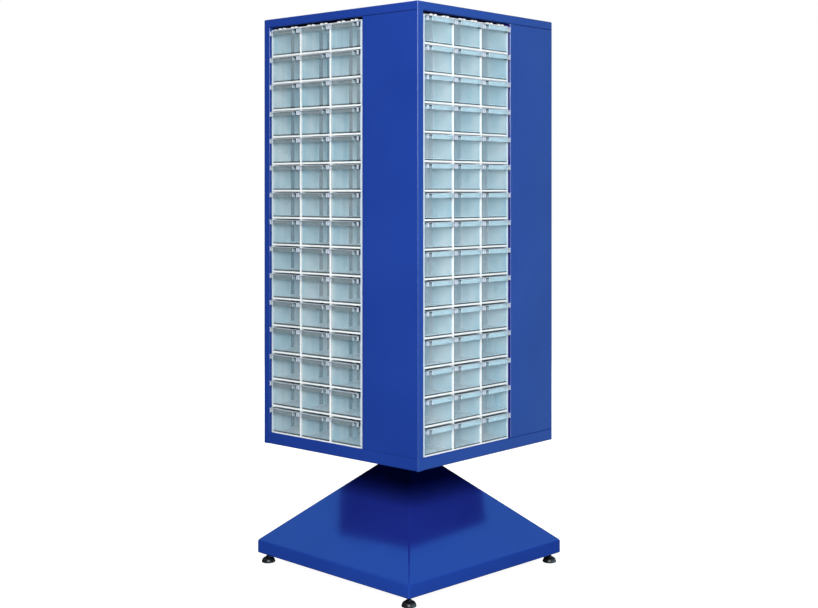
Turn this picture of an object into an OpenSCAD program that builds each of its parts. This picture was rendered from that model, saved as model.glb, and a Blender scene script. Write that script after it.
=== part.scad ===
// Rotating drawer cabinet: a square tower of clear drawers that turns on a low pyramid base.
// Millimetres, +Z up. The origin is the centre of the base, on the floor.
// The cabinet lies along X and Y, and the base below it is turned by base_turn.
// Each side is drawn as side 1, seen from the front with its left lower corner as origin:
// x runs to the right along the face, y into the cabinet and z up.

/* [Cabinet] */
// Gap between the cabinet's lower edge and the crown of the base
neck_gap = 62.5; // [60:0.5:80]
// Blue strip left of each drawer bay
margin_w = 24; // [20:1:27]
// Band above the drawers
band_top = 24; // [18:1:40]
// Band below the drawers
band_bottom = 33; // [28:1:45]
// Thickness of the folded sheet
sheet = 1.5; // [1.2:0.1:1.8]
// Open seam between a blank panel and the bands
seam = 0.8; // [0.5:0.1:1.2]
// Gap between the frames and each side of the bay's opening
side_gap = 4.5; // [3:0.5:5]
// Gap between the top frame and the upper band
top_gap = 8; // [6:0.5:12]
// How far the frames stand back behind the face
recess = 4.5; // [3:0.5:6]
// Depth of the folded edges beside a bay
fold_depth = 20; // [15:1:24]
// Width of the turned-in hem of the pans
hem_w = 14; // [12:1:18]
// Width of the tabs that take the panel screws
tab_w = 8; // [7.5:0.1:8.2]
// Gap between the frames and the wall behind them
wall_gap = 3; // [1:0.5:3.5]
// Gap between a bay and the wall behind the bay of the next side
core_gap = 4; // [3.5:0.5:10]
// Air round the pans' hems and the panels' tabs in the notches of a wall
notch_air = 0.5; // [0.3:0.1:1]

/* [Drawer frames] */
// Rows of drawers on each side
rows = 15; // [6:1:16]
// Height of one row
row_pitch = 78; // [70:1:90]
// Clear width of one drawer cell
cell_w = 115; // [112:0.5:116]
// Depth of a frame
frame_depth = 190; // [180:1:193]
// Outer wall of a frame
frame_side = 4.5; // [3.5:0.5:5]
// Wall between two cells
partition = 5; // [4:0.5:6]
// Floor of a frame
frame_floor = 3.4; // [3.2:0.1:4]
// Roof of a frame
frame_roof = 1.2; // [1:0.1:1.6]
// Back wall of a frame
frame_back = 2; // [1.5:0.5:3]
// Air between two stacked frames
stack_air = 0.2; // [0.1:0.05:0.4]
// Width of a stacking rail on a frame's roof
rail_w = 15; // [10:1:20]
// Height of a stacking rail
rail_h = 2.4; // [2:0.1:2.6]
// Air round a stacking rail in the groove of the frame above
rail_air = 0.3; // [0.2:0.05:0.4]

/* [Drawers] */
// Wall of a drawer
drawer_wall = 1.8; // [1.4:0.1:2.4]
// Floor of a drawer
drawer_floor = 1.8; // [1.4:0.1:2.4]
// Air on each side of a drawer
drawer_side_air = 0.8; // [0.5:0.1:1.2]
// Air under a drawer
drawer_lift = 0.3; // [0.2:0.05:0.5]
// Gap above a drawer
drawer_head_air = 3.4; // [2:0.1:6]
// Air behind a closed drawer
drawer_rear_air = 0.5; // [0.3:0.1:1]
// How far a drawer's front stands back in its frame
front_inset = 0.5; // [0.3:0.1:2]
// Height of the label strip on a drawer's front
grip_h = 13; // [10:1:18]
// How far the label strip stands out from the drawer's front
grip_reach = 15; // [12:1:18]
// How far the ribs at the strip's ends stand out
end_reach = 10; // [6:1:11]
// Thickness of the label strip's plates
grip_sheet = 1.6; // [1.2:0.1:2]
// Thickness of the ribs under the label strip
rib_t = 2; // [1.4:0.1:2.4]
// Distance from a drawer's side to its inner rib
rib_inset = 13; // [10:1:20]
// Rows whose drawer slides alone, for the left, middle and right column
free_rows = [11, 8, 5];

/* [Base] */
// Width and depth of the base
base_w = 630; // [626:1:650]
// Height of the lip's lower edge above the floor
base_clear = 27.5; // [26:0.5:30]
// Height of the upright lip
lip_h = 37.5; // [36:0.5:42]
// Rise of the sloping faces from the lip to the crown
crown_rise = 227.5; // [224:0.5:232]
// Half width of the flat crown round the column
crown = 60; // [56:1:64]
// Thickness of the base cover
cover_sheet = 2; // [1.5:0.1:2.4]
// Air between the foot lock nuts and the cover's turned-in hem
nut_air = 2; // [1:0.5:4]
// Turn of the base under the cabinet
base_turn = -3.1; // [-6:0.1:0]
// Width and height of the frame's square tube
tube_w = 30; // [28:1:32]
// Wall of the square tube
tube_wall = 2; // [1.5:0.5:3]
// Width of the frame's centre plate
plate_w = 160; // [156:1:170]
// Thickness of the centre plate
plate_t = 8; // [6:1:10]
// How far a tube reaches past a foot's stud
tube_end = 6; // [4:1:8]

/* [Feet] */
// Distance from a foot's axis to each edge of the base
foot_inset = 23; // [22:0.5:26]
// Radius of the pad
pad_r = 20; // [17:0.5:21]
// Height of the pad's straight rim
pad_rim = 4; // [3:0.5:6]
// Height of the pad with its dome
pad_h = 15; // [13:0.5:15]
// Radius of the neck above the dome
neck_r = 8; // [7:0.5:9]
// Radius of the foot's stud
stud_r = 5; // [4:0.5:6]
// Air between a stud and its nut
stud_air = 0.08; // [0.05:0.01:0.1]
// Height of the lock nut
locknut_h = 6; // [5:0.5:6.5]

/* [Column and bearing] */
// Outer radius of the column
column_r = 35; // [32:0.5:36]
// Wall of the column
column_wall = 3; // [2:0.5:4]
// Air between the column's top and the top pan
column_head_air = 20; // [10:1:40]
// Air between the column and the cover's crown
crown_air = 1; // [0.5:0.1:2]
// Fit of pieces that sit tight on the column
seat_air = 0.05; // [0.03:0.01:0.08]
// Running clearance of the bushes
bush_air = 0.08; // [0.05:0.01:0.1]
// Wall of a bush
bush_wall = 5; // [4:0.5:6]
// Height of a bush
bush_h = 40; // [30:1:44]
// Width of the column's flange plate
flange_w = 150; // [144:1:156]
// Thickness of the column's flange plate
flange_t = 10; // [8:1:12]
// Height of the socket on the flange
socket_h = 60; // [50:1:80]
// Wall of the socket
socket_wall = 7; // [5:0.5:8]
// Distance of the flange bolts from the axis
flange_bolt_at = 60; // [58:1:62]
// Radius of the flange bolts
flange_bolt_r = 5; // [4:0.5:5.5]
// Gap between the crown and the thrust collar
collar_gap = 3.5; // [2:0.5:5]
// Height of the thrust collar
collar_h = 12; // [10:1:14]
// Thickness of a race
race_t = 5; // [4:0.5:6]
// Outer radius of the races
race_r = 60; // [58:1:64]
// Gap between a race and the column
race_bore_air = 3; // [2:0.5:5]
// How far the thrust collar stands back under the lower race
collar_step = 4; // [2:1:6]
// Radius of the balls
ball_r = 4; // [3.5:0.5:4]
// Number of balls
balls = 16; // [10:1:20]
// Radius of the circle of balls
ball_ring_r = 49; // [48:0.5:51]
// Air between the balls and each race
ball_air = 0.2; // [0.1:0.05:0.3]
// Air round a ball in its cage
pocket_air = 0.15; // [0.1:0.05:0.3]
// Thickness of the ball cage
cage_t = 2.4; // [2:0.2:4]
// Wall of a hub's tube
hub_wall = 9; // [7:0.5:12]
// Radius of a hub's flange
hub_flange_r = 85; // [82:1:95]
// Thickness of a hub's flange
hub_flange_t = 8; // [6:1:10]
// Length of the upper hub's tube
upper_hub_h = 84; // [80:1:100]
// Radius of the circle of hub bolts
hub_bolt_at = 70; // [68:1:74]
// Radius of the hub bolts
hub_bolt_r = 4; // [3:0.5:4.5]
// Height of the retaining collar
retainer_h = 10; // [8:1:14]
// Gap between the upper bush and the retaining collar
retainer_gap = 0.5; // [0.3:0.1:1]

/* [Fasteners] */
// Air round a bolt in its hole
bolt_air = 0.4; // [0.3:0.1:0.6]
// Radius of the panel screws
screw_r = 2; // [1.5:0.1:2.2]
// Radius of a panel screw's head
screw_head_r = 3.4; // [3:0.1:3.6]
// Height of a panel screw's head
screw_head_h = 2; // [1.6:0.1:2.6]
// How far a panel screw reaches past the sheets
screw_tip = 2.5; // [2:0.1:4]
// Distance of the panel screws from a panel's ends
screw_inset = 45; // [40:1:60]

/* [Hidden] */
sides = 4;
columns = 3;
feet = 4;

// Widths along a face
frame_w = columns * cell_w + (columns - 1) * partition + 2 * frame_side;
stack_x = margin_w + side_gap;
bay_right = stack_x + frame_w + side_gap;
cell_pitch = cell_w + partition;

// Places behind a face, and the cabinet's width
wall_y = recess + frame_depth + wall_gap;
wall_end = bay_right + core_gap;
cab_w = wall_end + sheet + wall_y;

// Heights and places in the base
lip_top = base_clear + lip_h;
half_base = base_w / 2;
crown_z = lip_top + crown_rise;
slope_angle = atan(crown_rise / (half_base - crown));
tube_z = base_clear + cover_sheet;
plate_z = tube_z + tube_w;
flange_z = plate_z + plate_t;
column_z = flange_z + flange_t;
foot_at = half_base - foot_inset;
tube_reach = foot_at * sqrt(2) + stud_r + tube_end;
sleeve_r = tube_w / 2 - tube_wall;
locknut_r = 2 * stud_r;
cover_hem = foot_inset - locknut_r - nut_air;
stud_top = plate_z - tube_wall - 1.5;

// Heights of the cabinet
cab_z = crown_z + neck_gap;
deck_z = cab_z + band_bottom;
band_z = deck_z + rows * row_pitch + top_gap;
cab_top = band_z + band_top;
roof_z = cab_top - sheet;
frame_h = row_pitch - stack_air;
cell_h = frame_h - frame_floor - frame_roof;

// One drawer
drawer_w = cell_w - 2 * drawer_side_air;
drawer_h = cell_h - drawer_lift - drawer_head_air;
drawer_l = frame_depth - frame_back - front_inset - drawer_rear_air;

// Heights of the bearing and hubs
collar_z = crown_z + collar_gap;
race_z = collar_z + collar_h;
ball_z = race_z + race_t + ball_air + ball_r;
upper_race_z = ball_z + ball_r + ball_air;
hub_z = upper_race_z + race_t;
hub_flange_z = deck_z - sheet - hub_flange_t;
bush_r = column_r + bush_wall;
hub_r = bush_r + hub_wall;
race_in_r = column_r + race_bore_air;
upper_hub_z = roof_z - upper_hub_h;
column_top = roof_z - column_head_air;
retainer_z = upper_hub_z + bush_h + retainer_gap;
retainer_r = bush_r - 0.6;
bolt_head_h = 1.3;
nut_h = 1.6;
nut_width = 1.75;

function name_list(stem, count) = [for (i = [1:count]) str(stem, "_", i)];
function side_column_names(stem) = [for (k = [1:sides], c = [1:columns]) str(stem, "_", k, "_", c)];

cabinet_blue = [0.10, 0.24, 0.60];
base_blue = [0.09, 0.25, 0.62];
frame_white = [0.94, 0.96, 0.97];
drawer_clear = [0.70, 0.84, 0.88, 0.6];
steel = [0.62, 0.64, 0.66];
foot_black = [0.05, 0.05, 0.06];

// Moves a piece drawn at the lower left corner of side 1 to side k
module on_side(k) {
    rotate([0, 0, 90 * (k - 1)]) translate([-cab_w / 2, -cab_w / 2, 0]) children();
}

module turned_base() {
    rotate([0, 0, base_turn]) children();
}

module ring(outer, inner, h) {
    difference() {
        cylinder(r = outer, h = h, $fn = 96);
        translate([0, 0, -1]) cylinder(r = inner, h = h + 2, $fn = 96);
    }
}

module hex_nut(r, h) {
    difference() {
        cylinder(r = nut_width * r, h = h, $fn = 6);
        translate([0, 0, -1]) cylinder(r = r + stud_air, h = h + 2, $fn = 48);
    }
}

// Bolt that points up from the underside of its head, with a nut whose lower face is at grip
module bolt_and_nut(r, grip) {
    translate([0, 0, -bolt_head_h * r]) cylinder(r = nut_width * r, h = bolt_head_h * r, $fn = 6);
    translate([0, 0, -0.5]) cylinder(r = r, h = grip + nut_h * r + 1.5, $fn = 48);
    translate([0, 0, grip]) hex_nut(r, nut_h * r);
}

// Base

// Pyramid with an upright lip, offset inwards by t, from height z0 up
module pyramid(t, z0) {
    corner_drop = t * (1 - sin(slope_angle)) / cos(slope_angle);
    half = half_base - t;
    top = crown_z - t;
    crown_half = half_base - ((top - lip_top) * cos(slope_angle) + t) / sin(slope_angle);
    outline = [
        [-half, z0], [half, z0], [half, lip_top - corner_drop], [crown_half, top],
        [-crown_half, top], [-half, lip_top - corner_drop]
    ];
    intersection() {
        rotate([90, 0, 0]) linear_extrude(base_w, center = true) polygon(outline);
        rotate([90, 0, 90]) linear_extrude(base_w, center = true) polygon(outline);
    }
}

module base_cover() {
    hem_open = base_w - 2 * cover_hem;
    color(base_blue) turned_base() difference() {
        pyramid(0, base_clear);
        pyramid(cover_sheet, base_clear + cover_sheet);
        translate([0, 0, base_clear]) cube([hem_open, hem_open, 4 * cover_sheet], center = true);
        translate([0, 0, crown_z - 2 * cover_sheet])
            cylinder(r = column_r + crown_air, h = 4 * cover_sheet, $fn = 96);
    }
}

module diagonal_tube(angle) {
    rotate([0, 0, angle]) translate([0, 0, tube_z + tube_w / 2])
        cube([2 * tube_reach, tube_w, tube_w], center = true);
}

module diagonal_tube_bore(angle) {
    inside = tube_w - 2 * tube_wall;
    rotate([0, 0, angle]) translate([0, 0, tube_z + tube_w / 2])
        cube([2 * tube_reach + 2, inside, inside], center = true);
}

module at_feet() {
    for (i = [0:feet - 1]) rotate([0, 0, 90 * i]) translate([foot_at, foot_at, 0]) children();
}

module at_flange_bolts() {
    for (i = [0:3]) rotate([0, 0, 90 * i]) translate([flange_bolt_at, 0, 0]) children();
}

module base_frame() {
    color(steel) turned_base() difference() {
        union() {
            difference() {
                union() {
                    diagonal_tube(45);
                    diagonal_tube(-45);
                }
                diagonal_tube_bore(45);
                diagonal_tube_bore(-45);
            }
            translate([-plate_w / 2, -plate_w / 2, plate_z]) cube([plate_w, plate_w, plate_t]);
            at_feet() translate([0, 0, tube_z + tube_wall / 2])
                cylinder(r = sleeve_r - 1, h = tube_w - tube_wall, $fn = 48);
        }
        at_feet() translate([0, 0, tube_z - 1])
            cylinder(r = stud_r + stud_air, h = tube_w + 2, $fn = 48);
        at_flange_bolts() translate([0, 0, plate_z - 1])
            cylinder(r = flange_bolt_r + bolt_air, h = plate_t + 2, $fn = 48);
    }
}

module foot_locknuts() {
    color(steel) turned_base() at_feet() translate([0, 0, tube_z - locknut_h])
        difference() {
            cylinder(r = locknut_r, h = locknut_h, $fn = 6);
            translate([0, 0, -1]) cylinder(r = stud_r + stud_air, h = locknut_h + 2, $fn = 48);
        }
}

// Stud with its neck, and the pad as a solid of its own below it
module levelling_foot(i) {
    dome = pad_h - pad_rim;
    steps = 5;
    rim_r = pad_r - 1;
    color(foot_black) turned_base() rotate([0, 0, 90 * (i - 1)]) translate([foot_at, foot_at, 0]) {
        rotate_extrude($fn = 96) polygon(concat(
            [[0, 0], [pad_r, 0], [pad_r, pad_rim]],
            [for (s = [0:steps]) let (a = 90 * s / steps)
                [neck_r + 0.5 + (rim_r - neck_r - 0.5) * cos(a), pad_rim + dome * sin(a)]],
            [[0, pad_h]]
        ));
        translate([0, 0, pad_h + 0.1]) cylinder(r = neck_r, h = 3, $fn = 64);
        translate([0, 0, pad_h + 1]) cylinder(r = stud_r, h = stud_top - pad_h - 1, $fn = 64);
    }
}

module column_flange() {
    color(steel) turned_base() difference() {
        union() {
            translate([-flange_w / 2, -flange_w / 2, flange_z]) cube([flange_w, flange_w, flange_t]);
            translate([0, 0, flange_z])
                cylinder(r = column_r + seat_air + socket_wall, h = flange_t + socket_h, $fn = 96);
        }
        translate([0, 0, column_z]) cylinder(r = column_r + seat_air, h = socket_h + 1, $fn = 96);
        at_flange_bolts() translate([0, 0, flange_z - 1])
            cylinder(r = flange_bolt_r + bolt_air, h = flange_t + 2, $fn = 48);
    }
}

module flange_bolts() {
    grip = flange_t + plate_t;
    color(steel) turned_base() at_flange_bolts()
        translate([0, 0, column_z]) mirror([0, 0, 1]) bolt_and_nut(flange_bolt_r, grip);
}

// Column and bearing

module column() {
    color(steel) translate([0, 0, column_z])
        ring(column_r, column_r - column_wall, column_top - column_z);
}

module thrust_collar() {
    color(steel) translate([0, 0, collar_z])
        ring(race_r - collar_step, column_r + seat_air, collar_h);
}

module lower_race() {
    color(steel) translate([0, 0, race_z]) ring(race_r, race_in_r, race_t);
}

module upper_race() {
    color(steel) translate([0, 0, upper_race_z]) ring(race_r, race_in_r, race_t);
}

module at_balls() {
    for (i = [0:balls - 1]) rotate([0, 0, 360 * i / balls])
        translate([ball_ring_r, 0, ball_z]) children();
}

module bearing_balls() {
    color(steel) at_balls() sphere(r = ball_r, $fn = 48);
}

module ball_cage() {
    pocket_r = ball_r + pocket_air;
    color(steel) difference() {
        translate([0, 0, ball_z - cage_t / 2])
            ring(ball_ring_r + pocket_r + 3, ball_ring_r - pocket_r - 3, cage_t);
        at_balls() cylinder(r = pocket_r, h = cage_t + 2, center = true, $fn = 48);
    }
}

module at_hub_bolts() {
    for (i = [0:3]) rotate([0, 0, 45 + 90 * i]) translate([hub_bolt_at, 0, 0]) children();
}

module lower_hub() {
    color(steel) difference() {
        union() {
            translate([0, 0, hub_z]) cylinder(r = hub_r, h = hub_flange_z - hub_z + 1, $fn = 96);
            translate([0, 0, hub_flange_z]) cylinder(r = hub_flange_r, h = hub_flange_t, $fn = 96);
        }
        translate([0, 0, hub_z - 1])
            cylinder(r = bush_r + seat_air, h = deck_z - hub_z, $fn = 96);
        at_hub_bolts() translate([0, 0, hub_flange_z - 1])
            cylinder(r = hub_bolt_r + bolt_air, h = hub_flange_t + 2, $fn = 48);
    }
}

module bush() {
    ring(bush_r, column_r + bush_air, bush_h);
}

module lower_bush() {
    color("dimgray") translate([0, 0, hub_flange_z + hub_flange_t - bush_h]) bush();
}

module upper_hub() {
    color(steel) translate([0, 0, upper_hub_z]) {
        difference() {
            union() {
                cylinder(r = hub_r, h = upper_hub_h, $fn = 96);
                translate([0, 0, upper_hub_h - hub_flange_t])
                    cylinder(r = hub_flange_r, h = hub_flange_t, $fn = 96);
            }
            translate([0, 0, -1]) cylinder(r = bush_r + seat_air, h = upper_hub_h + 2, $fn = 96);
        }
    }
}

module upper_bush() {
    color("dimgray") translate([0, 0, upper_hub_z]) bush();
}

module retaining_collar() {
    color(steel) translate([0, 0, retainer_z])
        ring(retainer_r, column_r + seat_air, retainer_h);
}

module hub_bolts() {
    color(steel) at_hub_bolts() translate([0, 0, hub_flange_z])
        bolt_and_nut(hub_bolt_r, hub_flange_t + sheet);
}

// Pans, panels and walls

// Flange with its turned-in hem at height hem_z, from z0 up to z1
module pan_edge(z0, z1, hem_z) {
    length = cab_w - sheet - margin_w;
    translate([margin_w, 0, z0]) cube([length, sheet, z1 - z0]);
    translate([margin_w, 0, hem_z]) cube([length, hem_w, sheet]);
}

// The two screws of a corner panel's tab and the two of a bay wall's
function panel_screw_at() = [
    for (x = [bay_right + screw_inset, cab_w - screw_inset]) [x, sheet + tab_w / 2]
];
function wall_screw_at() = [
    for (x = [wall_y + screw_inset, wall_end - screw_inset]) [x, wall_y + sheet + tab_w / 2]
];

module screw_holes(places, z) {
    for (p = places) translate([p.x, p.y, z - 3 * sheet])
        cylinder(r = screw_r + bolt_air / 2, h = 6 * sheet, $fn = 32);
}

module panel_screw(grip) {
    translate([0, 0, -screw_head_h]) cylinder(r = screw_head_r, h = screw_head_h, $fn = 32);
    translate([0, 0, -0.5]) cylinder(r = screw_r, h = grip + screw_tip + 0.5, $fn = 32);
}

module bottom_pan() {
    color(cabinet_blue) difference() {
        union() {
            translate([sheet - cab_w / 2, sheet - cab_w / 2, deck_z - sheet])
                cube([cab_w - 2 * sheet, cab_w - 2 * sheet, sheet]);
            for (k = [1:sides]) on_side(k) pan_edge(cab_z, deck_z, cab_z);
        }
        translate([0, 0, deck_z - 2 * sheet]) cylinder(r = bush_r + bolt_air, h = 3 * sheet, $fn = 96);
        at_hub_bolts() translate([0, 0, deck_z - 2 * sheet])
            cylinder(r = hub_bolt_r + bolt_air, h = 3 * sheet, $fn = 48);
        for (k = [1:sides]) on_side(k) screw_holes(concat(panel_screw_at(), wall_screw_at()), deck_z);
    }
}

module top_pan() {
    color(cabinet_blue) difference() {
        union() {
            translate([-cab_w / 2, -cab_w / 2, roof_z]) cube([cab_w, cab_w, sheet]);
            for (k = [1:sides]) on_side(k) pan_edge(band_z, roof_z + sheet / 2, band_z);
        }
        for (k = [1:sides]) on_side(k) screw_holes(panel_screw_at(), band_z);
    }
}

// Blank panel on side k, bent round the corner into the margin strip of the next side
module corner_panel(k) {
    blank_z = deck_z + seam;
    blank_h = band_z - seam - blank_z;
    color(cabinet_blue) on_side(k) difference() {
        union() {
            translate([bay_right, 0, blank_z]) cube([cab_w - bay_right, sheet, blank_h]);
            translate([bay_right, 0, blank_z]) cube([sheet, fold_depth, blank_h]);
            translate([cab_w - sheet, 0, cab_z]) cube([sheet, margin_w, roof_z - cab_z]);
            translate([cab_w - fold_depth, margin_w - sheet, blank_z])
                cube([fold_depth, sheet, blank_h]);
            for (z = [deck_z, band_z - sheet])
                translate([bay_right + 2 * sheet, sheet / 2, z])
                    cube([cab_w - bay_right - 4 * sheet, tab_w + sheet / 2, sheet]);
        }
        screw_holes(panel_screw_at(), deck_z);
        screw_holes(panel_screw_at(), band_z);
    }
}

// Sheet behind the bay of side k, which ends against the wall of the next side and is notched
// round the tabs and the hem behind the blank panel of the side before
module bay_wall(k) {
    tab_x = wall_y + 2 * tab_w;
    tab_notch = sheet + tab_w + notch_air;
    hem_notch = max(tab_notch, hem_w + notch_air);
    color(cabinet_blue) on_side(k) difference() {
        union() {
            translate([sheet, wall_y, deck_z]) cube([wall_end - sheet, sheet, roof_z - deck_z]);
            translate([tab_x, wall_y, deck_z])
                cube([wall_end - tab_w - tab_x, sheet + tab_w, sheet]);
        }
        screw_holes(wall_screw_at(), deck_z);
        translate([0, wall_y - 1, deck_z - 1]) cube([tab_notch, sheet + 2, 1 + sheet + notch_air]);
        translate([0, wall_y - 1, band_z - sheet - notch_air])
            cube([hem_notch, sheet + 2, 2 * (sheet + notch_air)]);
    }
}

module panel_screws() {
    color(steel) for (k = [1:sides]) on_side(k) {
        for (p = concat(panel_screw_at(), wall_screw_at()))
            translate([p.x, p.y, deck_z - sheet]) panel_screw(2 * sheet);
        for (p = panel_screw_at())
            translate([p.x, p.y, band_z - sheet]) panel_screw(2 * sheet);
    }
}

// Frames

// The two rails over each cell: left edges
function rail_x() = [
    for (c = [0:columns - 1], share = [0.345, 0.76])
        frame_side + c * cell_pitch + share * cell_w - rail_w / 2
];

module frame_outline() {
    difference() {
        union() {
            square([frame_w, frame_h]);
            for (x = rail_x()) translate([x, frame_h - frame_roof])
                square([rail_w, frame_roof + rail_h]);
        }
        for (x = rail_x()) translate([x - rail_air, -1])
            square([rail_w + 2 * rail_air, 1 + rail_h - stack_air + rail_air / 2]);
    }
}

module drawer_frame() {
    difference() {
        translate([0, frame_depth, 0]) rotate([90, 0, 0])
            linear_extrude(frame_depth) frame_outline();
        for (c = [0:columns - 1]) translate([frame_side + c * cell_pitch, -1, frame_floor])
            cube([cell_w, frame_depth - frame_back + 1, cell_h]);
    }
}

module frame_stack(k) {
    color(frame_white) on_side(k)
        for (r = [0:rows - 1]) translate([stack_x, recess, deck_z + stack_air / 2 + r * row_pitch])
            drawer_frame();
}

// Drawers

module drawer() {
    inner_x = [rib_inset, drawer_w - rib_inset - rib_t];
    end_x = [0, drawer_w - rib_t];
    grip_z = drawer_h - grip_h;
    difference() {
        cube([drawer_w, drawer_l, drawer_h]);
        translate([drawer_wall, drawer_wall, drawer_floor])
            cube([drawer_w - 2 * drawer_wall, drawer_l - 2 * drawer_wall, drawer_h]);
    }
    translate([0, -grip_reach, drawer_h - grip_sheet])
        cube([drawer_w, grip_reach + drawer_wall, grip_sheet]);
    translate([rib_inset, -grip_reach, grip_z])
        cube([drawer_w - 2 * rib_inset, grip_sheet, grip_h]);
    for (x = inner_x) translate([x, -grip_reach, grip_z])
        cube([rib_t, grip_reach + drawer_wall / 2, grip_h]);
    for (x = end_x) translate([x, -end_reach, grip_z])
        cube([rib_t, end_reach + drawer_wall / 2, grip_h]);
}

// A drawer closed in column c and row r of side k
module drawer_in(k, c, r) {
    color(drawer_clear) on_side(k) translate([
        stack_x + frame_side + (c - 1) * cell_pitch + drawer_side_air,
        recess + front_inset,
        deck_z + stack_air / 2 + (r - 1) * row_pitch + frame_floor + drawer_lift
    ]) drawer();
}

module drawer_bank(k, c) {
    for (r = [1:rows]) if (r != free_rows[c - 1]) drawer_in(k, c, r);
}

module drawer_single(k, c) {
    drawer_in(k, c, free_rows[c - 1]);
}

base_cover();
base_frame();
foot_locknuts();
column_flange();
flange_bolts();
column();
thrust_collar();
lower_race();
retaining_collar();
ball_cage();
bearing_balls();
upper_race();
lower_hub();
lower_bush();
upper_hub();
upper_bush();
hub_bolts();
bottom_pan();
top_pan();
panel_screws();
for (i = [1:feet]) levelling_foot(i);
for (k = [1:sides]) {
    corner_panel(k);
    bay_wall(k);
    frame_stack(k);
    for (c = [1:columns]) {
        drawer_bank(k, c);
        drawer_single(k, c);
    }
}
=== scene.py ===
"""Looks of a rotating drawer cabinet: painted sheet, white frames, clear drawers, pyramid base.

Shapes are drawn in millimetres and scaled to metres when they become pieces. Each side of the
cabinet is drawn as side 1, from the lower left corner of its face: x runs to the right, y inwards
and z up from the floor.
"""

import math

import bmesh
import bpy
from mathutils import Matrix, Vector


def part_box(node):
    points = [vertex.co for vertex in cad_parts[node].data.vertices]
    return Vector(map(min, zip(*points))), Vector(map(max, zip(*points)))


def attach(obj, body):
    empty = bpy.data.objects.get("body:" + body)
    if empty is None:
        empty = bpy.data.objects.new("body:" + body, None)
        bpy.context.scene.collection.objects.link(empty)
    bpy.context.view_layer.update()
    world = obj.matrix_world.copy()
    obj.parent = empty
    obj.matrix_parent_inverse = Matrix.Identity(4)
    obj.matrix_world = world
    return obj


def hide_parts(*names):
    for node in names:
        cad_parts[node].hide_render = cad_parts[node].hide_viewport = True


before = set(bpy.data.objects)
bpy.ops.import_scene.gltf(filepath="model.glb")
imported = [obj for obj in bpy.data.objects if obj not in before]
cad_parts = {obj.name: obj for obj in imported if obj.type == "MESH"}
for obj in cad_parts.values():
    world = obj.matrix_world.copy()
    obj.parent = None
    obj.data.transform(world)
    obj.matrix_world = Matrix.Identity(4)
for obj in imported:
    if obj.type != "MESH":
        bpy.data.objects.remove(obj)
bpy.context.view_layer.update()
MM = 0.001
TINY = 0.01
X, Y, Z = range(3)

# Facets of a bend, a hole and a turned foot
BEND_STEPS = 4
HOLE_STEPS = 48
FOOT_STEPS = 40

# Angle above which a fold stays sharp, and least cosine for a face to face a direction
SHARP_ANGLE = math.radians(34)
FACING = 0.9

# Height of the relief on every material, in millimetres
RELIEF_H = 0.05


def node_box(node):
    """Lowest and highest corner of a CAD node, in millimetres"""
    low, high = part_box(node)
    return low / MM, high / MM


# Sizes of the cabinet, in millimetres
SIDES = 4
ROWS = 15
COLUMNS = 3
ROW_PITCH = 78
FREE_ROWS = (11, 8, 5)
pan_low, pan_high = node_box("bottom_pan")
roof_low, roof_high = node_box("top_pan")
stack_low, stack_high = node_box("frame_stack_1")
half_cab = pan_high.x
cab_w = 2 * half_cab
cab_z, deck_z = pan_low.z, pan_high.z
band_z, cab_top = roof_low.z, roof_high.z
stack_x = stack_low.x + half_cab
recess = stack_low.y + half_cab
frame_w = stack_high.x - stack_low.x
frame_depth = stack_high.y - stack_low.y

# Folded sheet
sheet = 1.5
margin_w = 24
side_gap = 4.5
seam = 0.8
fold_depth = 20
hem_w = 14
bend_r = 3
bay_right = stack_x + frame_w + side_gap
hub_hole_r = 40.4

# Moulded frames
cell_w = 115
cell_pitch = 120
frame_side = 4.5
frame_floor = 3.4
frame_roof = 1.2
frame_back = 2
stack_air = 0.2
frame_h = ROW_PITCH - stack_air
nub_w = 5.5
nub_h = 3
nub_depth = 7
nub_air = 0.4
nub_shares = (0.25, 0.4, 0.7, 0.84)

# Drawers
drawer_low, drawer_high = node_box("drawer_single_1_1")
grip_reach = 15
end_reach = 13
rib_foot = 6
grip_h = 13
grip_sheet = 1.6
drawer_wall = 1.8
rib_t = 2
rib_inset = 13
front_edge = 1.2
drawer_x = drawer_low.x + half_cab
drawer_l = 187
drawer_y = drawer_high.y + half_cab - drawer_l
drawer_z = drawer_low.z - (FREE_ROWS[0] - 1) * ROW_PITCH
drawer_w = drawer_high.x - drawer_low.x
drawer_h = drawer_high.z - drawer_low.z
guide_depths = (67, 99)
guide_w = 14.5
guide_t = 1.4
foot_h = 3.2
foot_step = 1.2
line_top = 5
shade_h = 4.5

# Base
BASE_TURN = math.radians(-3.1)
half_base = 315
cover_low, cover_high = node_box("base_cover")
lip_low, crown_z = cover_low.z, cover_high.z
lip_high = 65
crown = 60
cover_sheet = 2
cover_hem = 11
cover_bend = 3.5
crown_hole_r = 36
foot_at = 292


# Mesh tools


def link(thing):
    bpy.context.scene.collection.objects.link(thing)
    return thing


def block(bm, low, high):
    """A box between two corners"""
    low, high = Vector(low), Vector(high)
    corners = bmesh.ops.create_cube(bm, size=1)["verts"]
    bmesh.ops.scale(bm, vec=high - low, verts=corners)
    bmesh.ops.translate(bm, vec=(low + high) / 2, verts=corners)


def faces_in(bm, low, high, towards=None):
    """Faces with their centre between two corners, and facing one way if that is given"""
    found = []
    for face in bm.faces:
        centre = face.calc_center_median()
        inside = all(low[i] - TINY <= centre[i] <= high[i] + TINY for i in range(3))
        if inside and (towards is None or face.normal.dot(Vector(towards)) > FACING):
            found.append(face)
    return found


def between(faces, axis, low, high):
    """The faces with their centre between two places along an axis"""
    return [face for face in faces if low < face.calc_center_median()[axis] < high]


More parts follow.
